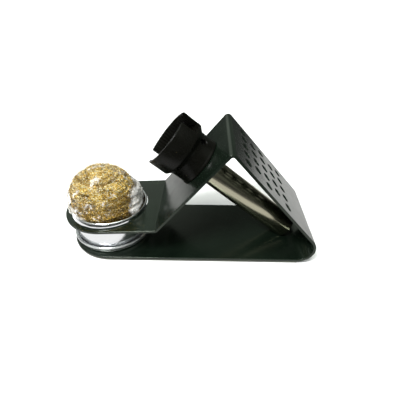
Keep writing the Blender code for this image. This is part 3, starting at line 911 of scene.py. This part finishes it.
def film_shell(bun, material):
    """Crinkled clear film over the wool. Its skirt stands up off the rim on the right and laps it on the left."""
    sides, steps = 220, 84
    low = 17.0 * MM
    vertices, faces = [], []
    for k in range(steps):
        part = k / (steps - 1)
        for i in range(sides):
            turn = 2 * pi * i / sides
            right, left = film_flare(turn)
            ragged = 1.2 * noise.noise(Vector((cos(turn), sin(turn), 0)) * 5.0) * MM
            start = low + (11.0 * MM + ragged) * max(right, left * 0.86)
            m = start + (bun.length - start) * part
            spot = bun.point(turn, m)
            skirt = smooth((53 * MM - spot.z) / (15 * MM))
            stand = (5.4 * right + 2.0 * left) * MM * skirt
            pleats = 0.55 * sin(19 * turn + 2.2 * noise.noise(spot / MM * 0.1)) * skirt
            pleats += 0.35 * sin(47 * turn + 3.0 * noise.noise(spot / MM * 0.16)) * skirt * max(right, left)
            local = spot / MM
            crumple = 0.85 * facet(local, 0.14) + 0.5 * facet(local + Vector((3, 7, 2)), 0.3)
            lift = (0.75 + pleats * 0.6) * MM + (crumple - 0.2) * MM * (1 - 0.35 * skirt)
            lift += max(wrap_depth(bun, turn, m), -0.9 * MM)
            out = Vector((cos(turn), sin(turn), 0)) * stand
            vertices.append(clear_of_tin(bun.point(turn, m, lift) + out, 0.25 * MM))
    for k in range(steps - 1):
        for i in range(sides):
            j = (i + 1) % sides
            a, b = k * sides, (k + 1) * sides
            faces.append((a + i, a + j, b + j, b + i))
    vertices.append(bun.point(0, bun.length, 1.2 * MM))
    top, last = (steps - 1) * sides, len(vertices) - 1
    faces += [(top + i, top + (i + 1) % sides, last) for i in range(sides)]
    return plain_object("wool_film", vertices, faces, material)


# ---------------------------------------------------------------- stage, light and camera

def emitter(name, colour, strength):
    made = bpy.data.materials.new(name)
    made.use_nodes = True
    made.node_tree.nodes.clear()
    out = made.node_tree.nodes.new("ShaderNodeOutputMaterial")
    glow = made.node_tree.nodes.new("ShaderNodeEmission")
    glow.inputs["Color"].default_value = (*colour, 1.0)
    glow.inputs["Strength"].default_value = strength
    made.node_tree.links.new(glow.outputs[0], out.inputs[0])
    return made, glow


def stage_plane(name, size, height, material):
    bm = bmesh.new()
    bmesh.ops.create_grid(bm, x_segments=1, y_segments=1, size=size)
    bmesh.ops.translate(bm, verts=bm.verts, vec=(0, 0, height))
    plane = smooth_object(name, bm, material)
    return plane


def seen_by(obj, camera=False, diffuse=False, glossy=False, shadow=False):
    obj.visible_camera, obj.visible_diffuse = camera, diffuse
    obj.visible_glossy, obj.visible_shadow = glossy, shadow
    obj.visible_transmission = obj.visible_volume_scatter = False


def light_table():
    """The pale floor, and the pool of light on it that shiny surfaces mirror."""
    floor = Shader("pale_floor", (0.86, 0.86, 0.87), 0.9)
    away = floor.node("VectorMath", "Value", sockets={0: floor.node("TexCoord", "Object")}, operation="LENGTH")
    floor.set(floor.bsdf, "Emission Color", (1.0, 1.0, 1.0, 1.0))
    floor.set(floor.bsdf, "Emission Strength", floor.ramp(away, 0.25, 0.9, *FLOOR_GLOW))
    plane = stage_plane("floor", 4.5, 0.0, floor.material)
    seen_by(plane, camera=True, diffuse=True)
    pool, glow = emitter("light_pool", (1.0, 1.0, 0.98), 1.0)
    tree = pool.node_tree
    spot = tree.nodes.new("ShaderNodeTexCoord")
    length = tree.nodes.new("ShaderNodeVectorMath")
    length.operation = "LENGTH"
    shift = tree.nodes.new("ShaderNodeVectorMath")
    shift.operation = "SUBTRACT"
    shift.inputs[1].default_value = POOL_CENTRE
    stretch = tree.nodes.new("ShaderNodeVectorMath")
    stretch.operation = "MULTIPLY"
    stretch.inputs[1].default_value = (0.5, 1.0, 0.0)
    tree.links.new(spot.outputs["Object"], shift.inputs[0])
    tree.links.new(shift.outputs[0], stretch.inputs[0])
    tree.links.new(stretch.outputs[0], length.inputs[0])
    product = tree.nodes.new("ShaderNodeMath")
    product.operation = "MULTIPLY"
    for i, (start, end, level) in enumerate(POOL_FADES):
        fade = tree.nodes.new("ShaderNodeMapRange")
        fade.interpolation_type = "SMOOTHSTEP"
        for socket, value in (("From Min", start), ("From Max", end), ("To Min", 1.0), ("To Max", level)):
            fade.inputs[socket].default_value = value
        tree.links.new(length.outputs["Value"], fade.inputs["Value"])
        tree.links.new(fade.outputs[0], product.inputs[i])
    tree.links.new(product.outputs[0], glow.inputs["Strength"])
    mirror = stage_plane("light_pool", 4.5, -0.2 * MM, pool)
    seen_by(mirror, glossy=True)


FLOOR_GLOW = (0.05, 1.0)  # near the stand, and far from it
POOL_CENTRE = (0.0, 0.09, 0.0)
# Each fade of the pool: where it starts and ends, front to back, and what it leaves of the light.
POOL_FADES = ((0.205, 0.240, 0.14), (0.25, 0.50, 0.35))


def backdrop():
    """A pale far wall all round, for the camera only."""
    material, _ = emitter("pale_backdrop", (1.0, 1.0, 1.0), 1.0)
    bm = bmesh.new()
    bmesh.ops.create_icosphere(bm, subdivisions=3, radius=4.8)
    dome = smooth_object("backdrop", bm, material)
    seen_by(dome, camera=True)


def soft_light(name, azimuth, elevation, distance, size, power, glossy=True):
    """A square area light that looks at the stand. Azimuth 0 is in front of it, 90 on its +X side."""
    data = bpy.data.lights.new(name, "AREA")
    data.shape, data.size, data.energy = "DISK", size, power
    lamp = bpy.data.objects.new(name, data)
    bpy.context.scene.collection.objects.link(lamp)
    a, e = radians(azimuth), radians(elevation)
    way = Vector((sin(a) * cos(e), -cos(a) * cos(e), sin(e)))
    target = Vector((0, 0, 40 * MM))
    lamp.location = target + way * distance
    lamp.rotation_euler = way.to_track_quat("Z", "Y").to_euler()
    lamp.visible_glossy = glossy
    lamp.visible_camera = False


def studio_sky():
    """What shiny surfaces see beyond the floor: a dim room with a few broad soft bright areas."""
    world = bpy.data.worlds.new("studio")
    bpy.context.scene.world = world
    world.use_nodes = True
    tree = world.node_tree
    way = tree.nodes.new("ShaderNodeTexCoord").outputs["Generated"]
    total = None
    for azimuth, elevation, inner, outer, strength in SKY_AREAS:
        a, e = radians(azimuth), radians(elevation)
        dot = tree.nodes.new("ShaderNodeVectorMath")
        dot.operation = "DOT_PRODUCT"
        dot.inputs[1].default_value = (sin(a) * cos(e), -cos(a) * cos(e), sin(e))
        tree.links.new(way, dot.inputs[0])
        fade = tree.nodes.new("ShaderNodeMapRange")
        fade.interpolation_type = "SMOOTHSTEP"
        ends = (cos(radians(outer)), cos(radians(inner)), 0.0, strength)
        for socket, value in zip(("From Min", "From Max", "To Min", "To Max"), ends):
            fade.inputs[socket].default_value = value
        tree.links.new(dot.outputs["Value"], fade.inputs["Value"])
        if total is None:
            total = fade.outputs[0]
            continue
        add = tree.nodes.new("ShaderNodeMath")
        tree.links.new(total, add.inputs[0])
        tree.links.new(fade.outputs[0], add.inputs[1])
        total = add.outputs[0]
    floor_level = tree.nodes.new("ShaderNodeMath")
    tree.links.new(total, floor_level.inputs[0])
    floor_level.inputs[1].default_value = SKY_LEVEL
    tree.links.new(floor_level.outputs[0], tree.nodes["Background"].inputs["Strength"])
    tree.nodes["Background"].inputs["Color"].default_value = (0.92, 1.0, 0.90, 1.0)


SKY_LEVEL = 0.12
# Azimuth (0 in front, 180 behind), elevation, full and zero radius in degrees, and strength.
SKY_AREAS = (
    (198, 26, 6, 22, 0.42),
    (230, 24, 6, 26, 0.38),
    (300, 55, 10, 40, 0.8),
    (60, 60, 10, 40, 0.4),
    (0, 86, 6, 16, 7.0),
)


def camera():
    """The camera: aimed at a point of the stand from an azimuth and elevation, with a slight roll."""
    data = bpy.data.cameras.new("camera")
    data.sensor_width, data.lens = 36.0, CAMERA_LENS
    data.clip_start, data.clip_end = 0.01, 50.0
    eye = bpy.data.objects.new("camera", data)
    bpy.context.scene.collection.objects.link(eye)
    a, e = radians(CAMERA_AZIMUTH), radians(CAMERA_ELEVATION)
    back = Vector((sin(a) * cos(e), -cos(a) * cos(e), sin(e)))
    right = Vector((cos(a), sin(a), 0))
    matrix = Matrix((right, back.cross(right), back)).transposed()
    matrix = matrix @ Matrix.Rotation(radians(CAMERA_ROLL), 3, "Z")
    eye.matrix_world = Matrix.Translation(Vector(CAMERA_TARGET) + back * CAMERA_DISTANCE) @ matrix.to_4x4()
    bpy.context.scene.camera = eye


CAMERA_TARGET = (10.29 * MM, 0.0, 34.22 * MM)
CAMERA_AZIMUTH = 1.415
CAMERA_ELEVATION = 35.47
CAMERA_ROLL = -0.126
CAMERA_DISTANCE = 263.5 * MM
CAMERA_LENS = 29.52


def finish_piece(obj, body, slot, *nodes):
    """Hang a piece on the body that it rides on, and hide the nodes that it stands for. Its material slot is not
    used.
    """
    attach(obj, body)
    if nodes:
        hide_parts(*nodes)


def repaint(node, material):
    obj = frame["nodes"][node]
    obj.data.materials.clear()
    obj.data.materials.append(material)


def main():
    bpy.context.scene.view_settings.view_transform = "Standard"
    camera()
    light_table()
    backdrop()
    studio_sky()
    soft_light("key", -35, 55, 1.2, 0.38, 20.0)
    soft_light("fill", 60, 50, 1.4, 0.8, 5.0, glossy=False)
    soft_light("back", 190, 60, 1.4, 0.8, 5.0, glossy=False)

    strip = Strip()
    holder = holder_matrix()
    finish_piece(frame_shell(strip, paint_material()), "base", "frame_paint", "stand_frame")
    finish_piece(pad_shell(strip, rubber_material()), "base", "pad_rubber", "base_pad")
    finish_piece(tube_shell(holder, tube_material()), "base", "tube_steel", "guide_tube")
    repaint("tube_retaining_ring", zinc_material())
    finish_piece(cup_shell(holder, plastic_material()), "cup", "cup_plastic", "holder_cup")
    repaint("cup_set_screw", oxide_material())
    finish_piece(tin_shell(tin_material("tin_aluminium", 1.0)), "tin", "tin_metal", "tin_body")
    finish_piece(lid_shell(tin_material("lid_aluminium", 0.9)), "lid", "tin_metal", "tin_lid")
    bun = Bun()
    # The core's dark brass colours are painted shade deep inside the wool.
    core = brass_material("brass_core", (0.06, 0.03, 0.004), (0.16, 0.09, 0.012), (0.40, 0.26, 0.05), 0.45, 0.4)
    strands = brass_material("brass_ribbon", (0.36, 0.19, 0.015), (0.93, 0.60, 0.09), (1.0, 0.97, 0.66), 0.28, 0.35)
    finish_piece(wool_core(bun, core), "wool", "wool_brass")
    finish_piece(wool_strands(bun, strands), "wool", "wool_brass", "brass_wool")
    film = film_shell(bun, film_material())
    finish_piece(film, "wool", "clear_film", "wool_wrapper")


main()
